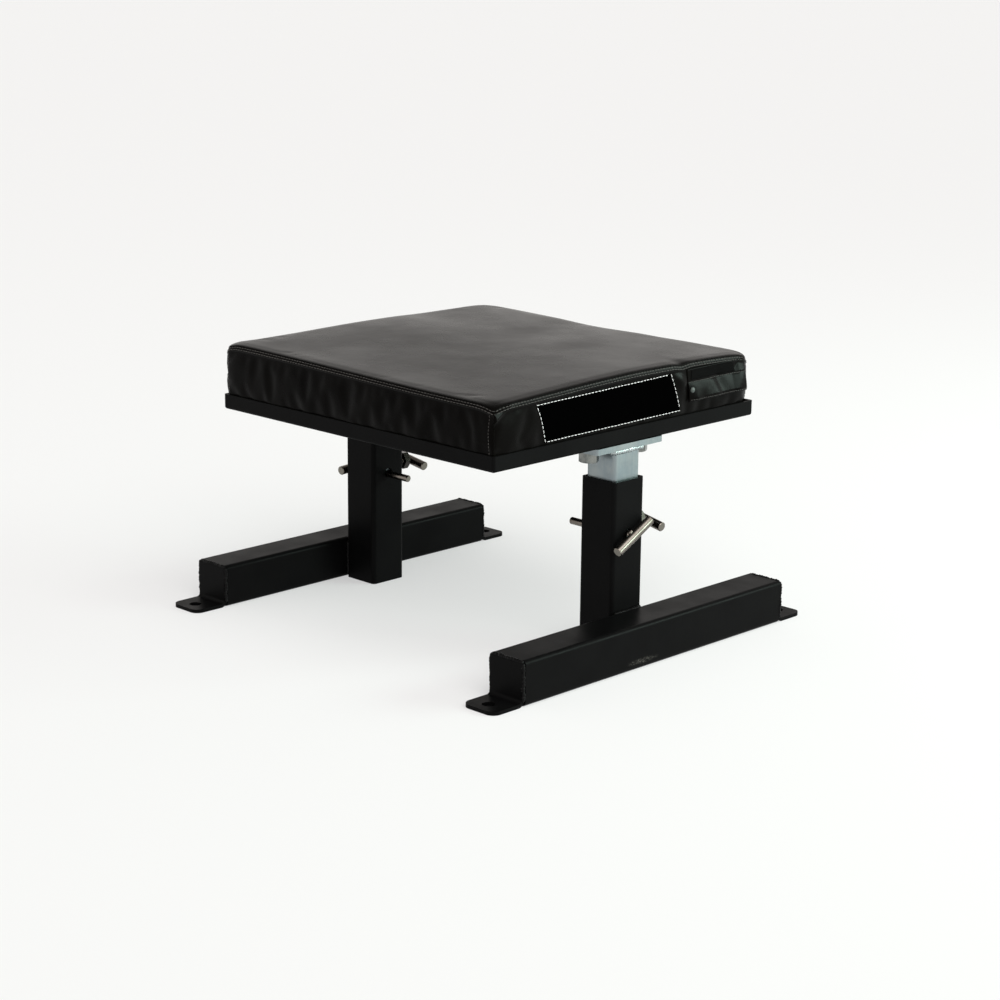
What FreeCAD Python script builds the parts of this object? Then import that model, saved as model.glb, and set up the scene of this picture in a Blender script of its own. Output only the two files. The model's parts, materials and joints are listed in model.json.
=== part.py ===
import FreeCAD, Part
import math
import os

# Height-adjustable padded squat box: a steel tray with an upholstered pad on two telescoping legs.
# Sizes in mm. X runs from the left leg to the right leg, Y along the base tubes, Z up from the floor.

os.makedirs("parts", exist_ok=True)
V = FreeCAD.Vector

# Black square tube of the bases and uprights
TUBE_SIDE = 60.0
TUBE_WALL = 4.0
TUBE_CORNER = 6.0
UPRIGHT_HEIGHT = 238.0

# Zinc-plated inner tubes that slide in the uprights
SLIDE_CLEARANCE = 1.0
INNER_WALL = 3.0
INNER_CORNER = 5.0
INNER_FLOOR_GAP = 18.0
EXPOSED_LENGTH = 42.0

# The inside corner of a tube keeps at least this share of the outside radius
INSIDE_CORNER_share = 0.25

# Locking pins, their T-bars and the holes that they pass
PIN_HEIGHT = 163.0
PIN_DIAMETER = 10.0
PIN_HOLE_DIAMETER = 14.0
PIN_TAIL = 43.0
PIN_SEAT_GAP = 0.3
HOLE_PITCH = 20.0
HOLE_COUNT = 7
BAR_DIAMETER = 13.0
BAR_LENGTH = 72.0
BAR_FACE_GAP = 3.0
BAR_CHAMFER = 0.8
PIN_TIP_CHAMFER = 1.2
PIN_BAR_ANGLE = {"left": 4.0, "right": 27.5}
PIN_BAR_SHIFT = {"left": 4.0, "right": 0.0}

# Clamp screws: M16 hexagon screws with a T-bar across the head, in nuts welded to the uprights
THREAD_DIAMETER = 16.0
HEX_FLATS = 24.0
HEAD_HEIGHT = 10.0
NUT_HEIGHT = 14.8
THREAD_CLEARANCE = 0.05
HOLE_CLEARANCE = 0.75
HEX_CHAMFER_ANGLE = 30.0
CLAMP_HEIGHT = 170.0
CLAMP_TIP_GAP = 0.3
CLAMP_STAND_OFF = {"left": 6.0, "right": 0.6}
CLAMP_BAR_ANGLE = {"left": -9.0, "right": -10.7}

# Flange plates welded on the inner tubes, and their bolts
FLANGE_THICKNESS = 8.0
FLANGE_LENGTH = 130.0
FLANGE_CORNER = 4.0
FLANGE_BOLT_PITCH = 96.0
BOLT_END_INSET = 1.0
WASHER_THICKNESS = 2.5
WASHER_DIAMETER = 30.0

# Folded tray
TRAY_WIDTH = 528.0
TRAY_DEPTH = 510.0
TRAY_HEIGHT = 21.0
TRAY_SHEET = 3.0
TRAY_CORNER = 4.0
TRAY_BEND = 3.6

# Pad: board, foam and sewn cover
PAD_CLEARANCE = 1.0
COVER_THICKNESS = 1.5
BOARD_THICKNESS = 15.0
BOARD_POCKET_DIAMETER = 42.0
SEAM_HEIGHT = 80.0
ROLL_RISE = 8.0
ROLL_REACH = 13.0
CROWN_RISE = 9.0
SIDE_BULGE = 0.7
SEAM_BOW = 4.0
FOOT_BOW = 0.3
PAD_CORNER = 9.0
CROWN_CORNER = 40.0
# Height of each side section, as a share of the seam's height, and how full it is
SIDE_HEIGHT_shares = (0.0, 0.15, 0.55, 1.0)
SIDE_FULLNESS_shares = (0.0, 0.15, 1.0, 0.0)
SIDE_BOW_shares = (0.0, 0.05, 0.45, 1.0)
ROLL_ANGLES = (28.0, 58.0)
LOFT_DEGREE = 2
SEW_TOLERANCE = 0.01
# Shares of the way from the rolled edge to the middle at which the crown has a section
CROWN_REACH_shares = (0.10, 0.32, 0.62, 0.88)

# Sewn label patch on the right side and closure flap behind it
PATCH_THICKNESS = 0.9
PATCH_LENGTH = 255.0
PATCH_HEIGHT = 50.0
PATCH_LEAN = 18.0
PATCH_END_GAP = 17.0
PATCH_TOP_GAP = 8.0
FLAP_THICKNESS = 1.4
FLAP_LENGTH = 122.0
FLAP_HEIGHT = 43.0
FLAP_END_GAP = 12.0
FLAP_TOP_GAP = 2.0
TRIM_REACH = 30.0

# Wood screws that hold the board from below
SCREW_DIAMETER = 6.0
SCREW_LENGTH = 14.0
SCREW_HEAD_DIAMETER = 13.0
SCREW_HEAD_HEIGHT = 3.2
SCREW_EDGE_X = 150.0
SCREW_EDGE_Y = 60.0

# Bent foot plates on the ends of the base tubes
FOOT_THICKNESS = 5.0
FOOT_REACH = 50.0
FOOT_WELD_LIP = 2.0
FOOT_BEND = 5.0
FOOT_CORNER = 13.0
FLOOR_HOLE_DIAMETER = 17.0
FLOOR_HOLE_EDGE = 20.0

# Extra depth of a cutting body past the face that it cuts
OVERRUN = 2.0

# Places worked out from the sizes above
HALF_WIDTH = TRAY_WIDTH / 2
HALF_DEPTH = TRAY_DEPTH / 2
UPRIGHT_X = HALF_WIDTH - TUBE_SIDE / 2
BASE_X = HALF_WIDTH + TUBE_SIDE / 2
INNER_SIDE = TUBE_SIDE - 2 * TUBE_WALL - 2 * SLIDE_CLEARANCE
FLANGE_Z = UPRIGHT_HEIGHT + EXPOSED_LENGTH
TRAY_Z = FLANGE_Z + FLANGE_THICKNESS
BOARD_Z = TRAY_Z + TRAY_SHEET
PAD_X = HALF_WIDTH - TRAY_SHEET - PAD_CLEARANCE
PAD_Y = HALF_DEPTH - TRAY_SHEET - PAD_CLEARANCE
BOLT_HOLE_RADIUS = THREAD_DIAMETER / 2 + HOLE_CLEARANCE
PIN_HOLE_DROP = (PIN_HOLE_DIAMETER - PIN_DIAMETER) / 2 - PIN_SEAT_GAP
X_AXIS, Y_AXIS, Z_AXIS = V(1, 0, 0), V(0, 1, 0), V(0, 0, 1)


def save(shape, node):
    shape.exportStep("parts/" + node + ".step")


def section(z, hx, hy, corner, bow=0.0):
    """Rounded rectangle at height z whose sides bow inwards by bow."""
    c = corner
    k = c * (1 - math.cos(math.pi / 4))
    edges = []
    for i in range(4):
        a = hx if i % 2 == 0 else hy
        b = hy if i % 2 == 0 else hx
        turn = FreeCAD.Rotation(Z_AXIS, 90.0 * i)
        p0 = turn.multVec(V(a, -b + c, 0)) + V(0, 0, z)
        p1 = turn.multVec(V(a - bow, 0, 0)) + V(0, 0, z)
        p2 = turn.multVec(V(a, b - c, 0)) + V(0, 0, z)
        p3 = turn.multVec(V(a - k, b - k, 0)) + V(0, 0, z)
        p4 = turn.multVec(V(a - c, b, 0)) + V(0, 0, z)
        side = Part.Arc(p0, p1, p2).toShape() if bow else Part.makeLine(p0, p2)
        edges += [side, Part.Arc(p2, p3, p4).toShape()]
    return Part.Wire(edges)


def prism(hx, hy, corner, z0, z1):
    return Part.Face(section(z0, hx, hy, corner)).extrude(V(0, 0, z1 - z0))


def square_tube(side, wall, corner, z0, z1):
    inside = max(corner - wall, corner * INSIDE_CORNER_share)
    outer = prism(side / 2, side / 2, corner, z0, z1)
    bore = prism(side / 2 - wall, side / 2 - wall, inside, z0 - OVERRUN, z1 + OVERRUN)
    return outer.cut(bore)


def rod(radius, start, end):
    d = end.sub(start)
    return Part.makeCylinder(radius, d.Length, start, d)


def hexagon(flats, height, chamfers):
    """Hexagon prism on the XY plane, its corners chamfered at the ends named in chamfers."""
    tip = flats / 2 / math.cos(math.pi / 6)
    points = [V(tip * math.cos(math.pi / 3 * i), tip * math.sin(math.pi / 3 * i), 0) for i in range(7)]
    body = Part.Face(Part.makePolygon(points)).extrude(V(0, 0, height))
    drop = (tip - flats / 2) * math.tan(math.radians(HEX_CHAMFER_ANGLE))
    low = drop if "low" in chamfers else 0
    high = drop if "high" in chamfers else 0
    r = flats / 2
    outline = [V(0, 0, 0), V(r if low else tip, 0, 0), V(tip, 0, low)]
    outline += [V(tip, 0, height - high), V(r if high else tip, 0, height), V(0, 0, height), V(0, 0, 0)]
    kept = [p for i, p in enumerate(outline) if i == 0 or p.sub(outline[i - 1]).Length > 0]
    turned = Part.Face(Part.makePolygon(kept)).revolve(V(0, 0, 0), Z_AXIS, 360)
    return body.common(turned)


def place(shape, position, z_to=None, turn=0.0):
    """Copy of shape turned about its own Z, then with Z laid along z_to, at position."""
    out = shape.copy()
    lay = FreeCAD.Rotation(Z_AXIS, z_to) if z_to else FreeCAD.Rotation()
    spin = FreeCAD.Rotation(Z_AXIS, turn)
    out.Placement = FreeCAD.Placement(position, lay.multiply(spin))
    return out


def chamfered_rod(radius, start, end, chamfer):
    """Round bar from start to end with both ends chamfered."""
    d = end.sub(start)
    r, c, n = radius, chamfer, d.Length
    half = [V(0, 0, 0), V(r - c, 0, 0), V(r, 0, c), V(r, 0, n - c), V(r - c, 0, n), V(0, 0, n), V(0, 0, 0)]
    body = Part.Face(Part.makePolygon(half)).revolve(V(0, 0, 0), Z_AXIS, 360)
    return place(body, start, d)


def at_side(shape, side):
    """Right-hand shapes are built first; the left leg's are their mirror images."""
    return shape if side == "right" else shape.mirror(V(0, 0, 0), X_AXIS)


# Legs

def upright_tube():
    body = square_tube(TUBE_SIDE, TUBE_WALL, TUBE_CORNER, 0, UPRIGHT_HEIGHT)
    hole_z = PIN_HEIGHT + PIN_HOLE_DROP
    reach = TUBE_SIDE / 2 + OVERRUN
    body = body.cut(rod(PIN_HOLE_DIAMETER / 2, V(-reach, 0, hole_z), V(reach, 0, hole_z)))
    body = body.cut(rod(BOLT_HOLE_RADIUS, V(0, 0, CLAMP_HEIGHT), V(0, reach, CLAMP_HEIGHT)))
    body.translate(V(UPRIGHT_X, 0, 0))
    return body


def base_tube():
    body = square_tube(TUBE_SIDE, TUBE_WALL, TUBE_CORNER, 0, TRAY_DEPTH)
    return place(body, V(BASE_X, HALF_DEPTH, TUBE_SIDE / 2), V(0, -1, 0))


def foot_plate(end):
    """Bent plate that closes one end of a base tube; end is -1 at the front and 1 at the rear."""
    t, r = FOOT_THICKNESS, FOOT_BEND
    top = TUBE_SIDE - FOOT_WELD_LIP
    tip = t + FOOT_REACH
    half = TUBE_SIDE / 2 - FOOT_WELD_LIP
    k = 1 - math.cos(math.pi / 4)
    c = t + r
    p = [V(0, 0, top), V(0, t, top), V(0, t, c), V(0, c, t)]
    p += [V(0, tip, t), V(0, tip, 0), V(0, c, 0), V(0, 0, c)]
    edges = [Part.makeLine(p[0], p[1]), Part.makeLine(p[1], p[2])]
    edges += [Part.Arc(p[2], V(0, t + r * k, t + r * k), p[3]).toShape()]
    edges += [Part.makeLine(p[3], p[4]), Part.makeLine(p[4], p[5]), Part.makeLine(p[5], p[6])]
    edges += [Part.Arc(p[6], V(0, c * k, c * k), p[7]).toShape(), Part.makeLine(p[7], p[0])]
    body = Part.Face(Part.Wire(edges)).extrude(V(2 * half, 0, 0))
    body.translate(V(-half, 0, 0))
    outline = prism(half, tip, FOOT_CORNER, -OVERRUN, t + r)
    block = Part.makeBox(2 * half, 2 * tip, TUBE_SIDE, V(-half, -tip, t + r))
    body = body.common(outline.fuse(block))
    hole_y = tip - FLOOR_HOLE_EDGE
    body = body.cut(rod(FLOOR_HOLE_DIAMETER / 2, V(0, hole_y, -OVERRUN), V(0, hole_y, t + OVERRUN)))
    if end < 0:
        body.rotate(V(0, 0, 0), Z_AXIS, 180)
    body.translate(V(BASE_X, end * HALF_DEPTH, 0))
    return body


def nut():
    bore = rod(THREAD_DIAMETER / 2 + THREAD_CLEARANCE, V(0, 0, -OVERRUN), V(0, 0, NUT_HEIGHT + OVERRUN))
    return hexagon(HEX_FLATS, NUT_HEIGHT, ("low", "high")).cut(bore)


for side in ("left", "right"):
    save(at_side(base_tube(), side), side + "_base_tube")
    save(at_side(upright_tube(), side), side + "_upright")
    save(at_side(foot_plate(-1), side), side + "_front_foot")
    save(at_side(foot_plate(1), side), side + "_rear_foot")
    clamp_nut = place(nut(), V(UPRIGHT_X, TUBE_SIDE / 2, CLAMP_HEIGHT), Y_AXIS)
    save(at_side(clamp_nut, side), side + "_clamp_nut")


# Clamp screws and their T-bars, laid along Y behind each upright

def clamp_screw(stand_off):
    head_y = TUBE_SIDE / 2 + NUT_HEIGHT + stand_off
    tip_y = INNER_SIDE / 2 + CLAMP_TIP_GAP
    head = place(hexagon(HEX_FLATS, HEAD_HEIGHT, ("high",)), V(UPRIGHT_X, head_y, CLAMP_HEIGHT), Y_AXIS)
    shank = rod(THREAD_DIAMETER / 2, V(UPRIGHT_X, tip_y, CLAMP_HEIGHT), V(UPRIGHT_X, head_y, CLAMP_HEIGHT))
    return head.fuse(shank).removeSplitter()


def clamp_bar(stand_off, tilt):
    y = TUBE_SIDE / 2 + NUT_HEIGHT + stand_off + HEAD_HEIGHT + BAR_DIAMETER / 2
    along = V(math.cos(math.radians(tilt)), 0, math.sin(math.radians(tilt))).multiply(BAR_LENGTH / 2)
    middle = V(UPRIGHT_X, y, CLAMP_HEIGHT)
    return chamfered_rod(BAR_DIAMETER / 2, middle.sub(along), middle.add(along), BAR_CHAMFER)


# Locking pins, pushed in from the outer side, with a T-bar welded across the outer end

def locking_pin():
    end = HALF_WIDTH + BAR_FACE_GAP
    tail = HALF_WIDTH - TUBE_SIDE - PIN_TAIL
    r, c = PIN_DIAMETER / 2, PIN_TIP_CHAMFER
    length = end - tail
    half = [V(0, 0, 0), V(r - c, 0, 0), V(r, 0, c), V(r, 0, length), V(0, 0, length), V(0, 0, 0)]
    body = Part.Face(Part.makePolygon(half)).revolve(V(0, 0, 0), Z_AXIS, 360)
    body = place(body, V(tail, 0, PIN_HEIGHT), X_AXIS)
    # the stub reaches into the bar, whose round side is then cut out of it
    stub = rod(r, V(end, 0, PIN_HEIGHT), V(end + BAR_DIAMETER / 2, 0, PIN_HEIGHT))
    return body.fuse(stub).removeSplitter()


def pin_bar(turn, shift):
    x = HALF_WIDTH + BAR_FACE_GAP + BAR_DIAMETER / 2
    along = V(0, math.cos(math.radians(turn)), math.sin(math.radians(turn))).multiply(BAR_LENGTH / 2)
    middle = V(x, shift, PIN_HEIGHT)
    return chamfered_rod(BAR_DIAMETER / 2, middle.sub(along), middle.add(along), BAR_CHAMFER)


for side in ("left", "right"):
    stand_off = CLAMP_STAND_OFF[side]
    # the mirror image of a bar tilts the other way
    tilt = CLAMP_BAR_ANGLE[side] if side == "right" else -CLAMP_BAR_ANGLE[side]
    save(at_side(clamp_screw(stand_off), side), side + "_clamp_screw")
    save(at_side(clamp_bar(stand_off, tilt), side), side + "_clamp_bar")
    bar = pin_bar(PIN_BAR_ANGLE[side], PIN_BAR_SHIFT[side])
    save(at_side(locking_pin().cut(bar), side), side + "_pin")
    save(at_side(bar, side), side + "_pin_bar")


# Inner tubes and flanges

def inner_tube():
    body = square_tube(INNER_SIDE, INNER_WALL, INNER_CORNER, INNER_FLOOR_GAP, FLANGE_Z)
    reach = INNER_SIDE / 2 + OVERRUN
    for i in range(HOLE_COUNT):
        z = PIN_HEIGHT - PIN_HOLE_DROP - i * HOLE_PITCH
        body = body.cut(rod(PIN_HOLE_DIAMETER / 2, V(-reach, 0, z), V(reach, 0, z)))
    body.translate(V(UPRIGHT_X, 0, 0))
    return body


def flange_plate():
    body = prism(TUBE_SIDE / 2, FLANGE_LENGTH / 2, FLANGE_CORNER, FLANGE_Z, TRAY_Z)
    for y in (-FLANGE_BOLT_PITCH / 2, FLANGE_BOLT_PITCH / 2):
        body = body.cut(rod(BOLT_HOLE_RADIUS, V(0, y, FLANGE_Z - OVERRUN), V(0, y, TRAY_Z + OVERRUN)))
    body.translate(V(UPRIGHT_X, 0, 0))
    return body


def flange_bolt(y):
    low = FLANGE_Z - NUT_HEIGHT + BOLT_END_INSET
    seat = BOARD_Z + WASHER_THICKNESS
    shank = rod(THREAD_DIAMETER / 2, V(UPRIGHT_X, y, low), V(UPRIGHT_X, y, seat))
    head = place(hexagon(HEX_FLATS, HEAD_HEIGHT, ("high",)), V(UPRIGHT_X, y, seat))
    return head.fuse(shank).removeSplitter()


def washer(y):
    low = V(UPRIGHT_X, y, BOARD_Z - OVERRUN)
    high = V(UPRIGHT_X, y, BOARD_Z + WASHER_THICKNESS + OVERRUN)
    ring = Part.makeCylinder(WASHER_DIAMETER / 2, WASHER_THICKNESS, V(UPRIGHT_X, y, BOARD_Z))
    return ring.cut(rod(BOLT_HOLE_RADIUS, low, high))


for side in ("left", "right"):
    save(at_side(inner_tube(), side), side + "_inner_tube")
    save(at_side(flange_plate(), side), side + "_flange")
    for end, y in (("front", -FLANGE_BOLT_PITCH / 2), ("rear", FLANGE_BOLT_PITCH / 2)):
        save(at_side(flange_bolt(y), side), side + "_" + end + "_bolt")
        save(at_side(washer(y), side), side + "_" + end + "_washer")
        below = place(nut(), V(UPRIGHT_X, y, FLANGE_Z - NUT_HEIGHT))
        save(at_side(below, side), side + "_" + end + "_nut")


# Tray

def four_places(x, y):
    return [(sx * x, sy * y) for sx in (-1, 1) for sy in (-1, 1)]


BOLT_PLACES = four_places(UPRIGHT_X, FLANGE_BOLT_PITCH / 2)
SCREW_PLACES = four_places(HALF_WIDTH - SCREW_EDGE_X, HALF_DEPTH - SCREW_EDGE_Y)


def tray():
    top = TRAY_Z + TRAY_HEIGHT
    outer = prism(HALF_WIDTH, HALF_DEPTH, TRAY_CORNER, TRAY_Z, top)
    low = [e for e in outer.Edges if max(v.Z for v in e.Vertexes) < TRAY_Z + TRAY_SHEET]
    outer = outer.makeFillet(TRAY_BEND, low)
    inner_corner = max(TRAY_CORNER - TRAY_SHEET, TRAY_CORNER * INSIDE_CORNER_share)
    inner = prism(HALF_WIDTH - TRAY_SHEET, HALF_DEPTH - TRAY_SHEET, inner_corner, BOARD_Z, top + OVERRUN)
    body = outer.cut(inner)
    holes = [(x, y, BOLT_HOLE_RADIUS) for x, y in BOLT_PLACES]
    holes += [(x, y, SCREW_DIAMETER / 2 + THREAD_CLEARANCE) for x, y in SCREW_PLACES]
    for x, y, radius in holes:
        body = body.cut(rod(radius, V(x, y, TRAY_Z - OVERRUN), V(x, y, BOARD_Z + OVERRUN)))
    return body


save(tray(), "tray")


# Pad

SEAM_Z = BOARD_Z + SEAM_HEIGHT
FOAM_Z = BOARD_Z + BOARD_THICKNESS


def pad_sections(grow):
    """Sections of the crowned pad from the board's top upwards, larger all round by grow."""
    wires = []
    for h, full, bow in zip(SIDE_HEIGHT_shares, SIDE_FULLNESS_shares, SIDE_BOW_shares):
        out = grow + SIDE_BULGE * full
        dip = FOOT_BOW + (SEAM_BOW - FOOT_BOW) * bow
        z = FOAM_Z + (SEAM_Z - FOAM_Z) * h
        wires.append(section(z, PAD_X + out, PAD_Y + out, PAD_CORNER + grow, dip))
    for a in ROLL_ANGLES:
        back = (ROLL_REACH + grow) * (1 - math.cos(math.radians(a)))
        z = SEAM_Z + (ROLL_RISE + grow) * math.sin(math.radians(a))
        wires.append(section(z, PAD_X + grow - back, PAD_Y + grow - back, PAD_CORNER + grow, SEAM_BOW))
    for s in CROWN_REACH_shares:
        left = 1 - s
        z = SEAM_Z + ROLL_RISE + grow + CROWN_RISE * (1 - left * left)
        hx = (PAD_X + grow - ROLL_REACH) * left
        hy = (PAD_Y + grow - ROLL_REACH) * left
        corner = min(PAD_CORNER + (CROWN_CORNER - PAD_CORNER) * s, hy / 2)
        wires.append(section(z, hx, hy, corner, SEAM_BOW * left))
    return wires


def pad_loft(grow, solid):
    """Smooth loft of the pad; its low degree keeps the crown from rippling."""
    return Part.makeLoft(pad_sections(grow), solid, False, False, LOFT_DEGREE)


def pad_foot(grow):
    return section(BOARD_Z, PAD_X + grow, PAD_Y + grow, PAD_CORNER + grow, FOOT_BOW)


def pad_skin(grow):
    """Faces of the pad's skin: the straight foot beside the board, the sides, the roll and the crown."""
    foot = pad_foot(grow).extrude(V(0, 0, BOARD_THICKNESS))
    return foot.Faces + pad_loft(grow, False).Faces + [Part.Face(pad_sections(grow)[-1])]


def cover_solid():
    """Sewn cover, open below: an outer and an inner skin joined by a ring at the foot."""
    ring = Part.Face(pad_foot(0.0)).cut(Part.Face(pad_foot(-COVER_THICKNESS)))
    lining = pad_skin(-COVER_THICKNESS)
    for face in lining:
        face.reverse()
    shell = Part.makeShell(pad_skin(0.0) + lining + ring.Faces)
    shell.sewShape()
    body = Part.Solid(shell.Shells[0])
    body.fix(SEW_TOLERANCE, SEW_TOLERANCE, SEW_TOLERANCE)
    return body


def board_solid():
    top = FOAM_Z + OVERRUN
    body = Part.Face(pad_foot(-COVER_THICKNESS)).extrude(V(0, 0, BOARD_THICKNESS))
    for x, y in BOLT_PLACES:
        body = body.cut(rod(BOARD_POCKET_DIAMETER / 2, V(x, y, BOARD_Z - OVERRUN), V(x, y, top)))
    for x, y in SCREW_PLACES:
        body = body.cut(rod(SCREW_DIAMETER / 2, V(x, y, BOARD_Z - OVERRUN), V(x, y, TRAY_Z + SCREW_LENGTH)))
    return body


def trim(thickness, outline):
    """Thin piece sewn on the right side of the cover, within an outline drawn on YZ."""
    side = max(pad_loft(0.0, False).Faces, key=lambda f: f.CenterOfMass.x)
    points = [V(PAD_X - TRIM_REACH, y, z) for y, z in outline + outline[:1]]
    window = Part.Face(Part.makePolygon(points)).extrude(V(2 * TRIM_REACH, 0, 0))
    return side.common(window).Faces[0].extrude(V(thickness, 0, 0))


save(cover_solid(), "pad_cover")
save(board_solid(), "pad_board")
save(pad_loft(-COVER_THICKNESS, True), "pad_foam")

flap_end = PAD_Y - FLAP_END_GAP
flap_start = flap_end - FLAP_LENGTH
flap_top = SEAM_Z - FLAP_TOP_GAP
flap_low = flap_top - FLAP_HEIGHT
flap = [(flap_start, flap_top), (flap_end, flap_top), (flap_end, flap_low), (flap_start, flap_low)]
save(trim(FLAP_THICKNESS, flap), "closure_flap")

patch_top = SEAM_Z - PATCH_TOP_GAP
patch_low = patch_top - PATCH_HEIGHT
patch_end = flap_start - PATCH_END_GAP - PATCH_LEAN
patch_start = patch_end - PATCH_LENGTH
patch = [(patch_start, patch_top), (patch_end, patch_top)]
patch += [(patch_end + PATCH_LEAN, patch_low), (patch_start + PATCH_LEAN, patch_low)]
save(trim(PATCH_THICKNESS, patch), "label_patch")

for i, (x, y) in enumerate(SCREW_PLACES):
    shank = rod(SCREW_DIAMETER / 2, V(x, y, TRAY_Z), V(x, y, TRAY_Z + SCREW_LENGTH))
    head = rod(SCREW_HEAD_DIAMETER / 2, V(x, y, TRAY_Z - SCREW_HEAD_HEIGHT), V(x, y, TRAY_Z))
    save(head.fuse(shank).removeSplitter(), "pad_screw_" + str(i + 1))
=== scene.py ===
import json
import math
import bpy
import bmesh
import numpy as np
from mathutils import Matrix, Vector, noise
from mathutils.bvhtree import BVHTree


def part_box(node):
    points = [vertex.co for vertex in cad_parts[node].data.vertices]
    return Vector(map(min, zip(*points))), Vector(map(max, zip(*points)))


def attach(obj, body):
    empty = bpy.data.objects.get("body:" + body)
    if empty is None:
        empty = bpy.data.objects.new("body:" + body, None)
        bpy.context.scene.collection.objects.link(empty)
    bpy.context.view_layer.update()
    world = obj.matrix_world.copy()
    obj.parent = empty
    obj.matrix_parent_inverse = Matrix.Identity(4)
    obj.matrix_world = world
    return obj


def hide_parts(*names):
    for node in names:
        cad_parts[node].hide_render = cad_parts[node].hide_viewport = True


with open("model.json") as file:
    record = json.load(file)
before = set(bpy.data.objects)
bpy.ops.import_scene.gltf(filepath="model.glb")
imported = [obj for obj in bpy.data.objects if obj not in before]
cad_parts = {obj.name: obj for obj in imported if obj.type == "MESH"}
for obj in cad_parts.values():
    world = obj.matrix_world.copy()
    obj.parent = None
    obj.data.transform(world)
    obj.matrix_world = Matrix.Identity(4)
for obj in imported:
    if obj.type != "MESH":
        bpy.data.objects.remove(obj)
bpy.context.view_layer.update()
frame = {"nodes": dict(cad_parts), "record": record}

# Looks of a height-adjustable padded squat box. Metres; X from the left leg to the right leg,
# Y from the front to the rear, Z up from the floor.

MM = 0.001

# Camera: place, heading, downward tilt and roll in degrees, and the lens on its sensor
CAMERA_PLACE = (2.1556, -2.1679, 0.9408)
CAMERA_HEADING = 44.5
CAMERA_DOWN = 14.3
CAMERA_ROLL = 0.6
LENS = 80.98
SENSOR = 36.0

# Without a seed, noise_vector draws its offsets from the clock
NOISE_SEED = 7
noise.seed_set(NOISE_SEED)


def new_mesh(name, points, faces, smooth=True):
    mesh = bpy.data.meshes.new(name)
    mesh.from_pydata([tuple(p) for p in points], [], [tuple(f) for f in faces])
    mesh.update()
    for polygon in mesh.polygons:
        polygon.use_smooth = smooth
    piece = bpy.data.objects.new(name, mesh)
    bpy.context.scene.collection.objects.link(piece)
    return piece


def dress(piece, look, body):
    piece.data.materials.clear()
    piece.data.materials.append(look)
    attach(piece, body)
    return piece


def node_box(node):
    low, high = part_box(node)
    return low, high, (low + high) / 2


# Materials

# Rubbed place in the paint: its middle, and one over its reach along each axis
SCUFF_PLACE = (324 * MM, -34 * MM, 11.0 * MM)
SCUFF_SCALE = (400, 30, 230)

# Colours of bare steel: clean, dull, its bright drawing lines, and its cut ends
STEEL = [(0.19, 0.17, 0.15), (0.1, 0.085, 0.07), (0.32, 0.29, 0.26), (0.19, 0.18, 0.155)]


class Look:
    """A material on one shader, with short calls for the nodes that lead to it."""

    def __init__(self, name, color, roughness, metallic=0.0, specular=0.5):
        self.material = bpy.data.materials.new(name)
        self.material.use_nodes = True
        self.tree = self.material.node_tree
        self.shader = self.tree.nodes["Principled BSDF"]
        self.shader.inputs["Base Color"].default_value = (*color, 1)
        self.shader.inputs["Roughness"].default_value = roughness
        self.shader.inputs["Metallic"].default_value = metallic
        self.shader.inputs["Specular IOR Level"].default_value = specular
        self.place = self.node("ShaderNodeTexCoord").outputs["Object"]
        self.normal = None

    def node(self, kind, inputs=None, **settings):
        made = self.tree.nodes.new(kind)
        for key, value in settings.items():
            setattr(made, key, value)
        for key, value in (inputs or {}).items():
            if isinstance(value, bpy.types.NodeSocket):
                self.tree.links.new(value, made.inputs[key])
            else:
                made.inputs[key].default_value = value
        return made

    def stretched(self, scale, turn=(0, 0, 0)):
        """Object coordinates turned, then scaled along each axis."""
        turned = self.node("ShaderNodeMapping", {"Vector": self.place, "Rotation": turn})
        return self.node("ShaderNodeMapping", {"Vector": turned.outputs[0], "Scale": scale}).outputs[0]

    def noise(self, scale, detail=3.0, rough=0.5, vector=None):
        inputs = {"Vector": vector or self.place, "Scale": scale, "Detail": detail, "Roughness": rough}
        return self.node("ShaderNodeTexNoise", inputs).outputs["Fac"]

    def cells(self, scale):
        return self.node("ShaderNodeTexVoronoi", {"Vector": self.place, "Scale": scale}).outputs["Distance"]

    def waves(self, direction, **inputs):
        inputs = {"Vector": self.place, **inputs}
        return self.node("ShaderNodeTexWave", inputs, bands_direction=direction).outputs["Fac"]

    def span(self, value, low, high, to_low=0.0, to_high=1.0):
        inputs = {"Value": value, "From Min": low, "From Max": high, "To Min": to_low, "To Max": to_high}
        return self.node("ShaderNodeMapRange", inputs).outputs["Result"]

    def math(self, operation, a, b=0.0):
        return self.node("ShaderNodeMath", {0: a, 1: b}, operation=operation).outputs[0]

    def mix(self, factor, a, b):
        inputs = {0: factor, 6: a if isinstance(a, bpy.types.NodeSocket) else (*a, 1),
                  7: b if isinstance(b, bpy.types.NodeSocket) else (*b, 1)}
        return self.node("ShaderNodeMix", inputs, data_type="RGBA").outputs[2]

    def facing(self, direction):
        """How far the surface faces a direction, in object space."""
        inputs = {0: self.node("ShaderNodeTexCoord").outputs["Normal"], 1: direction}
        return self.node("ShaderNodeVectorMath", inputs, operation="DOT_PRODUCT").outputs["Value"]

    def bump(self, height, distance):
        inputs = {"Height": height, "Distance": distance, "Strength": 1.0}
        if self.normal is not None:
            inputs["Normal"] = self.normal
        self.normal = self.node("ShaderNodeBump", inputs).outputs["Normal"]
        self.tree.links.new(self.normal, self.shader.inputs["Normal"])

    def drive(self, socket, value):
        self.tree.links.new(value, self.shader.inputs[socket])

    def tint(self, value, low, high, first, second):
        """Base colour that goes from one colour to another as a value goes from low to high."""
        self.drive("Base Color", self.mix(self.span(value, low, high), first, second))


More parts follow.
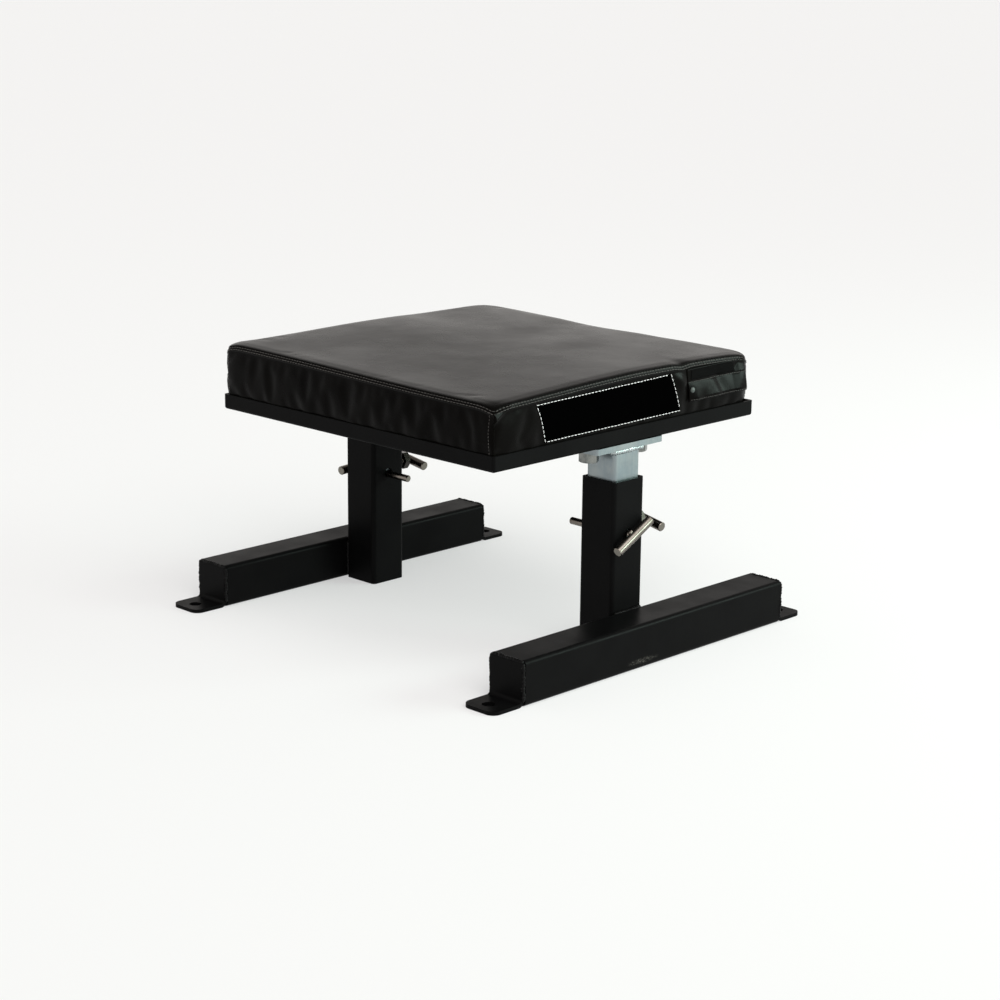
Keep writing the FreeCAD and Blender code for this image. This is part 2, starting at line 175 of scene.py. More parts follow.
def powder_coat(name, roughness, specular):
    """Black paint with a fine orange-peel surface."""
    look = Look(name, (0.003, 0.003, 0.003), roughness, specular=specular)
    clouds = look.noise(18, 4)
    paint = look.mix(look.span(clouds, 0.3, 0.7), (0.0022, 0.0022, 0.0023), (0.0034, 0.0034, 0.0035))
    # a rubbed place low on the outer face of the right base tube
    centre = Vector(SCUFF_PLACE) * Vector(SCUFF_SCALE)
    inputs = {0: look.stretched(SCUFF_SCALE), 1: tuple(centre)}
    away = look.node("ShaderNodeVectorMath", inputs, operation="DISTANCE").outputs["Value"]
    specks = look.span(look.noise(1.0, 4, 0.7, look.stretched((200, 420, 700))), 0.5, 0.62)
    rubbed = look.math("MULTIPLY", look.span(away, 0.3, 1.0, 1.0, 0.0), specks)
    look.drive("Base Color", look.mix(rubbed, paint, (0.11, 0.104, 0.095)))
    look.drive("Roughness", look.span(clouds, 0.3, 0.7, roughness - 0.06, roughness + 0.05))
    look.bump(look.noise(900, 2, 0.6), 0.03 * MM)
    look.bump(look.noise(160, 2), 0.05 * MM)
    return look


def zinc_plate():
    """Bluish zinc plating, clouded, with faint drawing lines along Z."""
    look = Look("zinc_plate", (0.25, 0.29, 0.3), 0.36, metallic=1.0)
    clouds = look.noise(26, 5, 0.6)
    streaks = look.noise(1.0, 4, 0.6, look.stretched((420, 420, 14)))
    tint = look.mix(look.span(clouds, 0.35, 0.65), (0.2, 0.245, 0.27), (0.28, 0.315, 0.32))
    look.drive("Base Color", look.mix(look.span(streaks, 0.3, 0.75, 0.0, 0.4), tint, (0.36, 0.38, 0.37)))
    look.drive("Roughness", look.span(look.noise(60, 4), 0.3, 0.7, 0.3, 0.46))
    look.bump(streaks, 0.03 * MM)
    look.bump(look.cells(260), 0.02 * MM)
    return look


def zinc_weld():
    look = Look("zinc_weld", (0.42, 0.47, 0.475), 0.25, metallic=1.0)
    look.drive("Roughness", look.span(look.noise(300, 3), 0.3, 0.7, 0.18, 0.42))
    look.bump(look.noise(700, 3), 0.15 * MM)
    return look


def zinc_fastener():
    look = Look("zinc_fastener", (0.22, 0.23, 0.22), 0.26, metallic=1.0)
    clouds = look.noise(70, 4, 0.6)
    look.tint(clouds, 0.35, 0.65, (0.15, 0.16, 0.155), (0.27, 0.275, 0.26))
    look.drive("Roughness", look.span(look.noise(150, 3), 0.3, 0.7, 0.2, 0.36))
    look.bump(look.noise(600, 2), 0.02 * MM)
    return look


def bare_steel(name, along, tone=1.0):
    """Dull drawn bar: fine lines along the bar, and paler cut ends; tone darkens it."""
    look = Look(name, (0.17, 0.15, 0.13), 0.3, metallic=1.0)
    turn = Vector((0, 0, 1)).rotation_difference(Vector(along)).inverted().to_euler()
    lines = look.noise(1.0, 4, 0.65, look.stretched((1500, 1500, 22), tuple(turn)))
    patches = look.noise(55, 4, 0.6)
    clean, dull, bright, cut = [tuple(c * tone for c in color) for color in STEEL]
    steel = look.mix(look.span(patches, 0.35, 0.7), clean, dull)
    steel = look.mix(look.span(lines, 0.35, 0.7, 0.0, 0.45), steel, bright)
    end = look.math("GREATER_THAN", look.math("ABSOLUTE", look.facing(tuple(along))), 0.93)
    look.drive("Base Color", look.mix(end, steel, cut))
    look.drive("Roughness", look.span(patches, 0.3, 0.7, 0.2, 0.32))
    look.bump(lines, 0.025 * MM)
    return look


def plywood():
    look = Look("plywood", (0.42, 0.29, 0.17), 0.7)
    plies = look.waves("Z", Scale=110.0, Distortion=2.0, Detail=3.0)
    grain = look.noise(1.0, 5, 0.6, look.stretched((30, 400, 400)))
    look.tint(look.math("ADD", plies, grain), 0.5, 1.5, (0.3, 0.19, 0.1), (0.52, 0.38, 0.23))
    look.bump(grain, 0.2 * MM)
    return look


def foam():
    look = Look("foam", (0.7, 0.66, 0.5), 0.95)
    pores = look.cells(700)
    look.tint(pores, 0.1, 0.6, (0.5, 0.46, 0.33), (0.74, 0.7, 0.55))
    look.bump(pores, 0.3 * MM)
    return look


def vinyl():
    """Soft black vinyl: slow waves, a leather-like relief and a fine grain."""
    look = Look("black_vinyl", (0.0018, 0.0016, 0.0014), 0.28, specular=0.047)
    look.shader.inputs["Specular Tint"].default_value = (0.35, 0.35, 0.35, 1)
    wear = look.noise(9, 4, 0.55)
    look.drive("Roughness", look.span(wear, 0.3, 0.7, 0.22, 0.32))
    look.tint(wear, 0.3, 0.7, (0.0013, 0.0011, 0.001), (0.0026, 0.0023, 0.002))
    look.bump(look.noise(45, 3, 0.5), 0.16 * MM)
    look.bump(look.noise(150, 3, 0.55), 0.1 * MM)
    look.bump(look.cells(1300), 0.012 * MM)
    return look


def patch_cloth():
    look = Look("patch_cloth", (0.0006, 0.0006, 0.0006), 0.8, specular=0.0)
    twill = look.waves("Z", Vector=look.stretched((1, 900, 900), (0.6, 0, 0)), Scale=1.0)
    look.drive("Base Color", look.mix(twill, (0.0002, 0.0002, 0.0002), (0.0009, 0.0009, 0.0009)))
    look.bump(twill, 0.08 * MM)
    return look


def hook_tape():
    look = Look("hook_tape", (0.002, 0.002, 0.002), 0.75, specular=0.02)
    hooks = look.cells(900)
    look.tint(hooks, 0.2, 0.7, (0.001, 0.001, 0.001), (0.0035, 0.0035, 0.0035))
    look.bump(hooks, 0.25 * MM)
    return look


# The stud's grey-green colour, much lighter than the black vinyl, stands in for the reflection on its dome:
# a painted highlight.
def stud_painted_highlight():
    look = Look("stud_painted_highlight", (0.05, 0.06, 0.056), 0.4, specular=0.4)
    look.bump(look.noise(500, 2), 0.03 * MM)
    return look


def thread(name, dark, pale):
    look = Look(name, pale, 0.5, specular=0.4)
    twist = look.waves("DIAGONAL", Scale=1400.0, Distortion=1.0)
    look.drive("Base Color", look.mix(twist, dark, pale))
    look.bump(twist, 0.1 * MM)
    return look


looks = {
    "black_powder_coat": powder_coat("black_powder_coat", 0.42, 0.035),
    "painted_weld": powder_coat("painted_weld", 0.32, 0.09),
    "zinc_weld": zinc_weld(),
    "zinc_plate": zinc_plate(),
    "zinc_fastener": zinc_fastener(),
    "plywood": plywood(),
    "foam": foam(),
    "black_vinyl": vinyl(),
    "patch_cloth": patch_cloth(),
    "hook_tape": hook_tape(),
    "stud_painted_highlight": stud_painted_highlight(),
    "seam_thread": thread("seam_thread", (0.025, 0.023, 0.021), (0.065, 0.06, 0.056)),
    "white_thread": thread("white_thread", (0.8, 0.8, 0.8), (0.98, 0.98, 0.98)),
}


def bar_direction(node):
    """Direction of a straight bar: the longest axis of its vertices."""
    points = np.array([v.co for v in frame["nodes"][node].data.vertices])
    spread = points - points.mean(0)
    return Vector(np.linalg.eigh(spread.T @ spread)[1][:, 2])


# The clamp screws are darker than the bars
SCREW_TONE = 0.16

for row in frame["record"]["subparts"]:
    node, slot = row["node"], row["material_slot"]
    if slot == "bare_steel":
        tone = SCREW_TONE if "clamp_screw" in node else 1.0
        look = bare_steel("bare_steel_" + node, bar_direction(node), tone)
    else:
        look = looks[slot]
    frame["nodes"][node].data.materials.clear()
    frame["nodes"][node].data.materials.append(look.material)


# Pad cover

# Half sizes of the outline at the seam, height of the foot, and height and fullness of the top's middle
cover_low, cover_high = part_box("pad_cover")
PAD_X = cover_high.x - 0.4 * MM
PAD_Y = cover_high.y - 0.4 * MM
FOOT_Z = cover_low.z + 0.3 * MM
CENTRE_Z = 382.0 * MM
CROWN_POWER = 0.6

# The top's soft waves fade over this distance from its edge
SOFT_EDGE = 60 * MM

# The top dips to the pulled fold in the right seam: how far in millimetres, its place and reach along Y,
# and its reach inwards
DIP_DEPTH = 2.2
DIP_PLACE = 103 * MM
DIP_LENGTH = 11 * MM
DIP_REACH = 14 * MM

# The edge of the top rolls over the seam: how far in, along the cloth, and how high on each side
ROLL_REACH = 10 * MM
ROLL_ARC = 11 * MM
ROLL_STEPS = 5
ROLL_RISE = {"front": 2.4, "right": 3.0, "rear": 4.0, "left": 4.5}
ROLL_BLEND = 40 * MM

# Height of the sewn seam along each side, in millimetres of X or Y and Z
SEAM = {
    "front": [(-262, 379.6), (-209, 379.7), (-104, 377.8), (-24, 375.6), (53, 373.3), (128, 371.4),
              (200, 370.6), (262, 370.2)],
    "right": [(-253, 370.2), (-207, 371.0), (-135, 374.1), (-60, 377.1), (17, 379.0), (57, 378.5),
              (139, 377.9), (203, 376.0), (253, 373.2)],
    "rear": [(-262, 377.0), (-220, 376.9), (-177, 376.1), (-136, 375.2), (-95, 374.4), (-54, 372.1),
             (-15, 371.3), (24, 372.0), (63, 372.7), (100, 371.9), (138, 372.6), (217, 372.0), (262, 373.2)],
    "left": [(-253, 379.6), (-218, 376.2), (-164, 376.3), (-127, 376.4), (-90, 377.3), (-13, 378.6),
             (66, 378.4), (106, 377.0), (189, 376.8), (253, 377.0)],
}
# Ends of the front and rear seams, half the length of the table of heights, and what its smoothing reaches
SEAM_END = 262
SEAM_SPAN = 265
SEAM_SMOOTH = 22

# Each corner of the pad: radius of its outline, how far its tip is drawn down, and over what distance
CORNERS = {(-1, -1): (9, 6.0, 13), (1, -1): (4.5, 5.0, 15), (1, 1): (22, 6.0, 18), (-1, 1): (12, 3.5, 14)}

# Seam band on the side panel: how far each of its rows lies below the seam and stands out
BAND = [(0.0, -2.0), (0.8, -1.3), (1.9, -0.7), (2.7, -0.6), (3.6, 0.0), (4.9, 0.8), (5.8, 0.9), (6.6, 0.2),
        (7.8, -0.1)]
BAND_FOOT = BAND[-1][0]

# Side panel in millimetres: step between its rows, its height, its bulge, and how far its foot is drawn in
SIDE_STEP = 4.4
SIDE_HEIGHT = 75
SIDE_BULGE = 1.3
FOOT_TUCK = 2.6
TOP_STEP = 5.6 * MM

# Folds of the side panels: side, place and height of each end, width, and how far the fold stands out
FOLDS = [
    ("front", (-206, 368), (-210, 322), 6, 0.5), ("front", (-176, 366), (-172, 318), 7, 0.8),
    ("front", (-34, 352), (-92, 326), 14, 1.2), ("front", (66, 352), (4, 318), 13, 1.4),
    ("front", (100, 344), (52, 310), 13, 1.3), ("front", (150, 350), (112, 308), 15, 0.9),
    ("front", (228, 356), (234, 312), 6, 1.0),
    ("right", (-214, 360), (-226, 310), 12, 1.0),
    ("right", (98, 358), (104, 354), 8.5, 3.4), ("right", (107, 374), (113, 346), 2.6, -1.8),
    ("rear", (-180, 362), (-140, 312), 12, 1.4), ("rear", (-70, 362), (-110, 310), 14, 1.6),
    ("rear", (30, 360), (-20, 308), 15, 1.6), ("rear", (120, 358), (80, 308), 14, 1.4),
    ("rear", (210, 360), (222, 312), 9, 1.3),
    ("left", (-200, 364), (-214, 312), 10, 1.3), ("left", (-110, 364), (-70, 310), 14, 1.5),
    ("left", (10, 366), (-30, 308), 15, 1.6), ("left", (110, 364), (70, 308), 14, 1.5),
    ("left", (212, 364), (224, 312), 9, 1.2),
]


def seam_curve(side, place):
    """Height of the seam of a side, smoothed over a short distance, from millimetres."""
    xs, zs = zip(*SEAM[side])
    steps = [place + SEAM_SMOOTH * k / 2 for k in (-2, -1, 0, 1, 2)]
    return sum(float(np.interp(q, xs, zs)) for q in steps) / len(steps)


SEAM_TABLE = {side: [seam_curve(side, q) for q in range(-SEAM_SPAN, SEAM_SPAN + 1)] for side in SEAM}


def seam_at(side, place):
    """Height of the seam of a side in millimetres, read from the table."""
    table = SEAM_TABLE[side]
    q = min(max(place + SEAM_SPAN, 0), 2 * SEAM_SPAN - 0.01)
    k = int(q)
    return table[k] + (table[k + 1] - table[k]) * (q - k)


def seam_height(x, y):
    """Height of the sewn seam, and inside it of the plain surface that the crown is added to."""
    u, v = x / PAD_X, y / PAD_Y
    px, py = x / MM, y / MM
    rows = (1 - v) / 2 * seam_at("front", px) + (1 + v) / 2 * seam_at("rear", px)
    columns = (1 - u) / 2 * seam_at("left", py) + (1 + u) / 2 * seam_at("right", py)
    signs = [(sx, sy) for sx in (-1, 1) for sy in (-1, 1)]
    ends = [(sx, sy, seam_at("front" if sy < 0 else "rear", sx * SEAM_END)) for sx, sy in signs]
    tips = sum(z * (1 + sx * u) * (1 + sy * v) / 4 for sx, sy, z in ends)
    z = rows + columns - tips
    for (sx, sy), (_, drop, reach) in CORNERS.items():
        away = math.hypot(px - sx * PAD_X / MM, py - sy * PAD_Y / MM)
        z -= drop * math.exp(-(away / reach) ** 1.5)
    return z * MM


def roll_rise(x, y):
    """Height of the roll above the seam, drawn from the nearest sides."""
    near = {"front": y + PAD_Y, "rear": PAD_Y - y, "left": x + PAD_X, "right": PAD_X - x}
    weights = {side: math.exp(-gap / ROLL_BLEND) for side, gap in near.items()}
    return sum(ROLL_RISE[side] * w for side, w in weights.items()) / sum(weights.values()) * MM


def grid_lines(half):
    """Distances from the edge over the cloth, close together on the roll, up to the middle and back."""
    reach = half - ROLL_REACH + ROLL_ARC
    near = [ROLL_ARC * i / ROLL_STEPS for i in range(ROLL_STEPS)]
    count = round((reach - ROLL_ARC) / TOP_STEP)
    near += [ROLL_ARC + (reach - ROLL_ARC) * i / count for i in range(count + 1)]
    line = [s - reach for s in near]
    return line + [-s for s in reversed(line[:-1])]


def rolled(u, half):
    """Flat place and roll fraction of a point that lies u along the cloth from the middle."""
    reach = half - ROLL_REACH + ROLL_ARC
    s = reach - abs(u)
    angle = min(s / ROLL_ARC, 1) * math.pi / 2
    inset = ROLL_REACH * (1 - math.cos(angle)) + max(s - ROLL_ARC, 0)
    return math.copysign(half - inset, u) if u else 0.0, math.sin(angle)


def corner_radius(x, y):
    """Radius of the outline at the corner nearest to a place."""
    return CORNERS[1 if x > 0 else -1, 1 if y > 0 else -1][0] * MM


def corner_offset(x, y):
    """How far a place lies along X and Y into the round block of the nearest corner."""
    radius = corner_radius(x, y)
    return abs(x) - (PAD_X - radius), abs(y) - (PAD_Y - radius)


def round_corner(x, y):
    """Moves a point of the square outline's corner block onto round arcs."""
    dx, dy = corner_offset(x, y)
    if dx <= 0 or dy <= 0:
        return x, y
    radius = corner_radius(x, y)
    k = max(dx, dy) / math.hypot(dx, dy)
    return (math.copysign(PAD_X - radius + dx * k, x), math.copysign(PAD_Y - radius + dy * k, y))


def top_point(u, v):
    """Point of the top that lies u and v along the cloth from its middle."""
    x, fx = rolled(u, PAD_X)
    y, fy = rolled(v, PAD_Y)
    crown = (1 - (x / PAD_X) ** 2) * (1 - (y / PAD_Y) ** 2)
    middle = seam_height(0, 0) + roll_rise(0, 0)
    z = seam_height(x, y) + roll_rise(x, y) * fx * fy + (CENTRE_Z - middle) * crown ** CROWN_POWER
    soft = noise.noise(Vector((x, y, 0)) * 9) * 0.5 + noise.noise(Vector((y, x, 4)) * 24) * 0.16
    soft *= min(1, min(PAD_X - abs(x), PAD_Y - abs(y)) / SOFT_EDGE)
    dip = -DIP_DEPTH * math.exp(-((y - DIP_PLACE) / DIP_LENGTH) ** 2) * math.exp(-(PAD_X - x) / DIP_REACH)
    x, y = round_corner(x, y)
    return x, y, z + (soft * fx * fy + dip) * MM


def side_of(x, y):
    """Name of the side that an outline point is on, and its place along it."""
    dx, dy = corner_offset(x, y)
    if dx > dy:
        return "right" if x > 0 else "left", y
    return "rear" if y > 0 else "front", x


def fold_rise(side, place, z):
    """Height of the folds of a side at a place along it, in millimetres."""
    out = 0.0
    for fold_side, (a, az), (b, bz), width, height in FOLDS:
        if fold_side != side:
            continue
        line = Vector((b - a, bz - az))
        offset = Vector((place / MM - a, z / MM - az))
        share = offset.dot(line) / line.length_squared
        across = (offset.x * line.y - offset.y * line.x) / line.length
        end = max(0, -share, share - 1) * line.length / width
        out += height * math.exp(-(across / width) ** 2 - (end / 1.2) ** 2)
    return out


def side_out(x, y, z, depth, height):
    """How far the side panel stands out, depth below the seam, on a side of that height."""
    share = min(max((depth - BAND_FOOT * MM) / (height - BAND_FOOT * MM), 0), 1)
    side, place = side_of(x, y)
    out = SIDE_BULGE * math.sin(math.pi * share ** 0.8) - FOOT_TUCK * share ** 4
    # folds are at their fullest in the middle of the height, and faint along the foot
    inner = math.sin(math.pi * min(share * 1.1 + 0.05, 1)) ** 0.5 if share < 0.86 else 0.3
    out += (fold_rise(side, place, z) - 0.5) * inner
    soft = noise.noise(Vector((x, y, z)) * 17) * 0.5 + noise.noise(Vector((x, y, z)) * 55) * 0.1
    return (out + soft * math.sin(math.pi * share)) * MM


def outline_normal(x, y):
    dx, dy = corner_offset(x, y)
    if dx > 0 and dy > 0:
        return Vector((math.copysign(dx, x), math.copysign(dy, y), 0)).normalized()
    if dx > dy:
        return Vector((math.copysign(1, x), 0, 0))
    return Vector((0, math.copysign(1, y), 0))


def grid_edge(nx, ny):
    """Indices of the points round the edge of a grid."""
    edge = list(range(nx)) + [j * nx + nx - 1 for j in range(1, ny)]
    return edge + [(ny - 1) * nx + i for i in range(nx - 2, -1, -1)] + [j * nx for j in range(ny - 2, 0, -1)]


def cover_mesh():
    """Points and faces of the open cover, with the rows of the side panel by index."""
    lines_x, lines_y = grid_lines(PAD_X), grid_lines(PAD_Y)
    nx, ny = len(lines_x), len(lines_y)
    points = [top_point(u, v) for v in lines_y for u in lines_x]
    faces = [(j * nx + i, j * nx + i + 1, (j + 1) * nx + i + 1, (j + 1) * nx + i)
             for j in range(ny - 1) for i in range(nx - 1)]
    rim = grid_edge(nx, ny)
    rows = [rim]
    side_rows = round((SIDE_HEIGHT - BAND_FOOT) / SIDE_STEP)
    for row in range(1, len(BAND) + side_rows):
        ring = []
        for p in rim:
            x, y, z = points[p]
            height = z - FOOT_Z
            if row < len(BAND):
                depth, out = BAND[row][0] * MM, BAND[row][1] * MM
            else:
                share = (row - len(BAND) + 1) / side_rows
                depth = BAND_FOOT * MM + (height - BAND_FOOT * MM) * share
                out = side_out(x, y, z - depth, depth, height)
            n = outline_normal(x, y)
            ring.append(len(points))
            points.append((x + n.x * out, y + n.y * out, z - depth))
        upper = rows[-1]
        for k in range(len(rim)):
            m = (k + 1) % len(rim)
            faces.append((upper[m], upper[k], ring[k], ring[m]))
        rows.append(ring)
    for p in rim:
        x, y, z = points[p]
        n = outline_normal(x, y)
        points[p] = (x + n.x * BAND[0][1] * MM, y + n.y * BAND[0][1] * MM, z)
    return points, faces, rows


def finished(piece):
    """Applies the modifiers of a piece, so that what follows works on its final mesh."""
    depsgraph = bpy.context.evaluated_depsgraph_get()
    mesh = bpy.data.meshes.new_from_object(piece.evaluated_get(depsgraph))
    piece.modifiers.clear()
    piece.data = mesh


def draw_in_corner(piece):
    """Bends the cover out into a flat slanting strip beside the near corner, between the seam and a crease.

    Both lines start at the corner and rise to the rear, where they meet. All is in millimetres, and slopes.
    """
    inner_x, plane_x, corner_y, end_y = 252, 262.2, -250, -222
    seam_start, seam_slope, crease_start, crease_slope = 363, 0.3, 354.5, 0.56
    lean, lean_top, most = 0.34, 363.5, 1.5
    fade_in, fade_below = 6, 3.5
    for vertex in piece.data.vertices:
        x, y, z = vertex.co / MM
        seam = seam_start + seam_slope * (y - corner_y)
        crease = crease_start + crease_slope * (y - corner_y)
        if x < inner_x or y > end_y or z > seam or crease > seam:
            continue
        rise = max(0, lean * (lean_top - max(z, crease)))
        out = min(max(0, plane_x + rise - x), rise + most)
        out *= min(1, (x - inner_x) / fade_in)
        vertex.co.x += out * math.exp(-(max(0, crease - z) / fade_below) ** 2) * MM


def close_below(piece):
    """Closes the open foot of the cover with one flat face."""
    mesh = bmesh.new()
    mesh.from_mesh(piece.data)
    bmesh.ops.holes_fill(mesh, edges=[e for e in mesh.edges if e.is_boundary], sides=0)
    mesh.to_mesh(piece.data)
    mesh.free()
    for polygon in piece.data.polygons:
        polygon.use_smooth = len(polygon.vertices) < 5


# Cloth of the cover: shrinkage, pressure, frames, the margin of the top that is held, and how far a point
# of the top and of the sides may move
SLACK = -0.006
PRESSURE = 1.5
SIM_FRAMES = 20
HELD_MARGIN = 14 * MM
TOP_CAP = 0.7 * MM
SIDE_CAP = 1.6 * MM


def settle(piece, rows):
    """Cloth simulation of the cover over its foam: slight slack and pressure, held along seam and foot."""
    held = [k for row in rows[:len(BAND)] + rows[-3:] for k in row]
    sides = rows[1][0]
    held += [v.index for v in piece.data.vertices[:sides]
             if min(PAD_X - abs(v.co.x), PAD_Y - abs(v.co.y)) < HELD_MARGIN]
    piece.vertex_groups.new(name="held").add(held, 1.0, "REPLACE")
    before = [v.co.copy() for v in piece.data.vertices]
    cloth = piece.modifiers.new("cloth", "CLOTH")
    cloth.settings.vertex_group_mass = "held"
    cloth.settings.quality = 4
    cloth.settings.mass = 0.3
    cloth.settings.tension_stiffness = cloth.settings.compression_stiffness = 12
    cloth.settings.shear_stiffness = 6
    cloth.settings.bending_stiffness = 3.0
    cloth.settings.air_damping = 4
    cloth.settings.shrink_min = SLACK
    cloth.settings.use_pressure = True
    cloth.settings.uniform_pressure_force = PRESSURE
    cloth.settings.effector_weights.gravity = 0
    cloth.collision_settings.use_collision = False
    cloth.collision_settings.use_self_collision = False
    for step in range(1, SIM_FRAMES + 1):
        bpy.context.scene.frame_set(step)
    shape = piece.evaluated_get(bpy.context.evaluated_depsgraph_get()).data
    after = [v.co.copy() for v in shape.vertices]
    piece.modifiers.clear()
    piece.vertex_groups.clear()
    bpy.context.scene.frame_set(1)
    for k, vertex in enumerate(piece.data.vertices):
        move = after[k] - before[k]
        cap = TOP_CAP if k < sides else SIDE_CAP
        vertex.co = before[k] + move * min(1, cap / max(move.length, 1e-9))


points, faces, cover_rows = cover_mesh()
cover = new_mesh("sewn_cover", points, faces)
rim = [Vector(points[k]) for k in cover_rows[0]]
settle(cover, cover_rows)
cover.modifiers.new("smooth", "SUBSURF").levels = 1
finished(cover)
draw_in_corner(cover)
close_below(cover)
dress(cover, looks["black_vinyl"].material, "platform")
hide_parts("pad_cover", "pad_foam")
skin = BVHTree.FromPolygons([v.co for v in cover.data.vertices], [p.vertices for p in cover.data.polygons])


def on_skin(place, outward, reach=30 * MM):
    """Point and normal of the cover under a place beside it, seen from outside along outward."""
    return skin.ray_cast(place + outward * reach, -outward)[:2]


# Stitches and seams

def sweep(path, radius, sides, closed=False, up=Vector((0, 0, 1))):
    """Points and faces of a round bead along a path; radius is called with the index and the angle."""
    count = len(path)
    points, faces = [], []
    for i, p in enumerate(path):
        before = path[i - 1 if closed or i else 0]
        after = path[(i + 1) % count if closed or i < count - 1 else i]
        along = (after - before).normalized()
        across = along.cross(up)
        across = across.normalized() if across.length > 0.1 else along.cross(Vector((1, 0, 0))).normalized()
        rise = across.cross(along)
        for k in range(sides):
            a = 2 * math.pi * k / sides
            r = radius(i, a)
            points.append(p + across * (math.cos(a) * r) + rise * (math.sin(a) * r))
    for i in range(count if closed else count - 1):
        j = (i + 1) % count
        for k in range(sides):
            m = (k + 1) % sides
            faces.append((i * sides + k, i * sides + m, j * sides + m, j * sides + k))
    if not closed:
        faces.append(tuple(reversed(range(sides))))
        faces.append(tuple(range((count - 1) * sides, count * sides)))
    return points, faces


def walk(path, step, closed=False):
    """Evenly spaced points along a path."""
    ends = path + [path[0]] if closed else path
    lengths = [(b - a).length for a, b in zip(ends, ends[1:])]
    total = sum(lengths)
    count = max(2, round(total / step))
    out, leg, done = [], 0, 0.0
    for i in range(count if closed else count + 1):
        goal = total * i / count
        while leg < len(lengths) - 1 and done + lengths[leg] < goal:
            done += lengths[leg]
            leg += 1
        share = (goal - done) / lengths[leg] if lengths[leg] else 0
        out.append(ends[leg].lerp(ends[leg + 1], min(share, 1)))
    return out


def stitch_row(path, length, gap, radius, closed):
    """Thread stitches along a path, each rising in the middle and pulled in at its ends."""
    parts, sides, ribs = 8, 6, 6
    places = walk(path, (length + gap) / parts, closed)

    def size(i, a):
        return radius * (0.35 + 0.65 * math.sin(math.pi * (i + 0.6) / (ribs + 1.2)) ** 0.4)

    points, faces = [], []
    for start in range(0, len(places) - parts, parts):
        first, last = places[start], places[start + parts]
        line = [first.lerp(last, (i / ribs) * length / (length + gap)) for i in range(ribs + 1)]
        middle = line[ribs // 2]
        out = on_skin(middle, (middle - centre_of(middle)).normalized(), 4 * MM)[1]
        line = [p + out * radius * (0.9 * math.sin(math.pi * i / ribs) - 0.25) for i, p in enumerate(line)]
        one, skins = sweep(line, size, sides)
        faces += [tuple(len(points) + k for k in face) for face in skins]
        points += one
    return points, faces


def seam_stitches(name, path, length, gap, radius, closed=False):
    points, faces = stitch_row(path, length, gap, radius, closed)
    dress(new_mesh(name, points, faces), looks["seam_thread"].material, "platform")


def centre_of(place):
    """The point inside the pad that a place on its side faces away from."""
    radius = corner_radius(place.x, place.y) + 2 * MM
    x = max(min(place.x, PAD_X - radius), radius - PAD_X)
    y = max(min(place.y, PAD_Y - radius), radius - PAD_Y)
    return Vector((x, y, place.z))


def around(depth):
    """Closed path on the cover at a depth below the seam."""
    drop = Vector((0, 0, depth))
    return [on_skin(p - drop, (p - centre_of(p)).normalized())[0] for p in rim]


for row, depth in (("upper", 1.3 * MM), ("lower", 4.3 * MM)):
    seam_stitches("seam_stitches_" + row, around(depth), 4.2 * MM, 1.3 * MM, 0.6 * MM, closed=True)


def corner_seam(name, sx, sy):
    """Upright seam at a corner of the pad: a narrow welt, and stitches beside it."""
    outward = Vector((sx, sy, 0)).normalized()
    corner = Vector((sx * (PAD_X - 2 * MM), sy * (PAD_Y - 2 * MM), 0))
    top = seam_height(sx * PAD_X, sy * PAD_Y) - 1.5 * MM
    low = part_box("tray")[1].z - 6 * MM
    steps = 30
    heights = [top + (low - top) * i / steps for i in range(steps + 1)]
    line = [on_skin(Vector((corner.x, corner.y, z)), outward)[0] for z in heights]
    points, faces = sweep(line, lambda i, a: 0.75 * MM * (1 + 0.12 * math.sin(i * 1.7)), 8)
    dress(new_mesh(name + "_welt", points, faces), looks["black_vinyl"].material, "platform")
    beside = Vector((-sx * 5.5 * MM, 0, 0))
    line = [on_skin(Vector((corner.x, corner.y, z)) + beside, Vector((0, sy, 0)))[0] for z in heights]
    seam_stitches(name + "_stitches", line, 3.0 * MM, 1.3 * MM, 0.42 * MM)


corner_seam("front_left_seam", -1, -1)
corner_seam("front_right_seam", 1, -1)
corner_seam("rear_right_seam", 1, 1)
corner_seam("rear_left_seam", -1, 1)


# Label patch and closure flap on the right side

RIGHT = Vector((1, 0, 0))

# Ends of the top and foot edges of the patch and the flap, in millimetres of Y and Z
PATCH_TOP = ((-178.5, 363.4), (80.5, 368.9))
PATCH_FOOT = ((-162.0, 312.6), (99.0, 316.0))
FLAP_TOP = ((112.5, 370.2), (238.5, 371.0))
FLAP_FOOT = ((114, 326.5), (236, 328.3))


def between(top, foot, u, v):
    """Place u along and v down between a top edge and a foot edge, each given by its two ends."""
    return Vector(top[0]).lerp(Vector(top[1]), u).lerp(Vector(foot[0]).lerp(Vector(foot[1]), u), v)


def lies_on(top, foot, u, v):
    """Point of the cover under a sheet."""
    y, z = between(top, foot, u, v) * MM
    return on_skin(Vector((PAD_X, y, z)), RIGHT)[0]


def sheet_point(top, foot, rise, u, v, flat=None):
    """Point of a sheet over the cover, or over the plane of flat, its X at four corners, if further out."""
    place = lies_on(top, foot, u, v)
    if flat:
        plane = (flat[0] * (1 - u) + flat[1] * u) * (1 - v) + (flat[2] * (1 - u) + flat[3] * u) * v
        place.x = max(place.x, plane)
    return place + RIGHT * rise(u, v)


